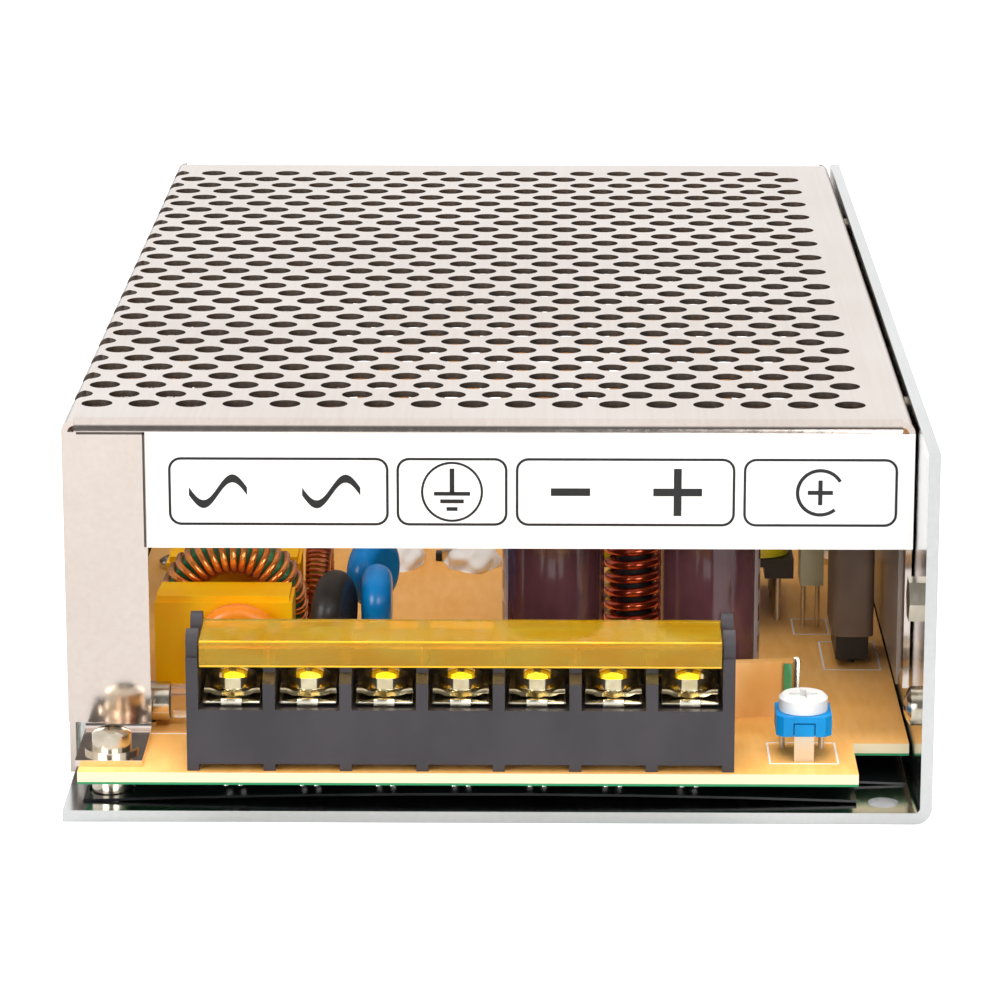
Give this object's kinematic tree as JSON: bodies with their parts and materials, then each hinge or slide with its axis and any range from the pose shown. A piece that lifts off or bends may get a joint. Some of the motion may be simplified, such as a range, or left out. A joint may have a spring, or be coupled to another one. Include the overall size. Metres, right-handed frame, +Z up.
{
  "type": "mesh case switching power supply",
  "caption": "Mesh-case switching power supply: folded base with one full side, perforated cover, terminal block with hinged lid, output trimmer and a fitted board.",
  "frame": {"origin": "centre of the underside", "axes": "+Z up, +Y to the rear, +X to the right as seen from the terminals"},
  "size_m": [0.11, 0.197, 0.048],
  "materials": {
    "base_sheet": "mill sheet, satin",
    "cover_sheet": "rolled sheet, satin",
    "label_film": "white vinyl",
    "black_film": "black sheet",
    "board": "paper laminate",
    "plated_steel": "zinc plated",
    "terminal_body": "moulded",
    "lid": "clear amber",
    "contacts": "tinned",
    "yellow_zinc": "yellow passivated",
    "trimmer_case": "moulded",
    "white_nylon": "moulded",
    "clear_glass": "polished",
    "yellow_box": "moulded",
    "green_ferrite": "epoxy coated",
    "copper_wire": "enamelled",
    "orange_epoxy": "dipped",
    "black_epoxy": "moulded",
    "blue_epoxy": "dipped",
    "can_sleeve": "shrunk film",
    "dark_ferrite": "ground",
    "yellow_tape": "polyester tape",
    "grey_sleeve": "silicone",
    "green_box": "moulded"
  },
  "bodies": {
    "root": {"base_chassis": "base_sheet", "mesh_cover": "cover_sheet", "front_label": "label_film", "insulating_film": "black_film", "side_film": "black_film", "circuit_board": "board", "board_standoffs": "plated_steel", "board_screws": "plated_steel", "corner_screw": "plated_steel", "spring_washer": "plated_steel", "flat_washer": "plated_steel", "cover_screws": "plated_steel", "wall_nuts": "plated_steel", "earth_screw": "plated_steel", "terminal_block": "terminal_body", "contact_plates": "contacts", "trimmer_body": "trimmer_case", "fuse_tube": "clear_glass", "fuse_caps": "plated_steel", "x_capacitors": "yellow_box", "choke_core": "green_ferrite", "choke_winding": "copper_wire", "line_inductor": "copper_wire", "varistor": "orange_epoxy", "thermistor": "black_epoxy", "y_capacitors": "blue_epoxy", "bridge_rectifier": "black_epoxy", "bulk_capacitor_1": "can_sleeve", "bulk_capacitor_2": "can_sleeve", "transformer_core": "dark_ferrite", "transformer_bobbin": "white_nylon", "transformer_coil": "yellow_tape", "filter_rod": "dark_ferrite", "filter_coil": "copper_wire", "output_capacitor_1": "can_sleeve", "output_capacitor_2": "can_sleeve", "daughter_board": "board", "output_rectifier": "black_epoxy", "rectifier_sleeve": "grey_sleeve", "suppressor_capacitor": "green_box", "power_transistors": "black_epoxy", "insulating_pad": "grey_sleeve", "clamp_bar": "plated_steel", "clamp_screws": "plated_steel"},
    "lid": {"terminal_lid": "lid"},
    "rotor": {"trimmer_rotor": "white_nylon"},
    "clamp_1": {"clamp_washer_1": "yellow_zinc", "terminal_screw_1": "yellow_zinc"},
    "clamp_2": {"clamp_washer_2": "yellow_zinc", "terminal_screw_2": "yellow_zinc"},
    "clamp_3": {"clamp_washer_3": "yellow_zinc", "terminal_screw_3": "yellow_zinc"},
    "clamp_4": {"clamp_washer_4": "yellow_zinc", "terminal_screw_4": "yellow_zinc"},
    "clamp_5": {"clamp_washer_5": "yellow_zinc", "terminal_screw_5": "yellow_zinc"},
    "clamp_6": {"clamp_washer_6": "yellow_zinc", "terminal_screw_6": "yellow_zinc"},
    "clamp_7": {"clamp_washer_7": "yellow_zinc", "terminal_screw_7": "yellow_zinc"}
  },
  "joints": [
    {"name": "lid_hinge", "type": "hinge", "parent": "root", "child": "lid", "pos_m": [-0.00415, -0.0871, 0.0227], "axis": [-1, 0, 0], "range_deg": [0, 110]},
    {"name": "trimmer_turn", "type": "hinge", "parent": "root", "child": "rotor", "pos_m": [0.0392, -0.0891, 0.0122], "axis": [0, 0, 1], "range_deg": [-130, 130]},
    {"name": "clamp_lift_1", "type": "slide", "parent": "root", "child": "clamp_1", "axis": [0, 0, 1], "range_m": [0, 0.0021]},
    {"name": "clamp_lift_2", "type": "slide", "parent": "root", "child": "clamp_2", "axis": [0, 0, 1], "range_m": [0, 0.0021]},
    {"name": "clamp_lift_3", "type": "slide", "parent": "root", "child": "clamp_3", "axis": [0, 0, 1], "range_m": [0, 0.0021]},
    {"name": "clamp_lift_4", "type": "slide", "parent": "root", "child": "clamp_4", "axis": [0, 0, 1], "range_m": [0, 0.0021]},
    {"name": "clamp_lift_5", "type": "slide", "parent": "root", "child": "clamp_5", "axis": [0, 0, 1], "range_m": [0, 0.0021]},
    {"name": "clamp_lift_6", "type": "slide", "parent": "root", "child": "clamp_6", "axis": [0, 0, 1], "range_m": [0, 0.0021]},
    {"name": "clamp_lift_7", "type": "slide", "parent": "root", "child": "clamp_7", "axis": [0, 0, 1], "range_m": [0, 0.0021]}
  ]
}
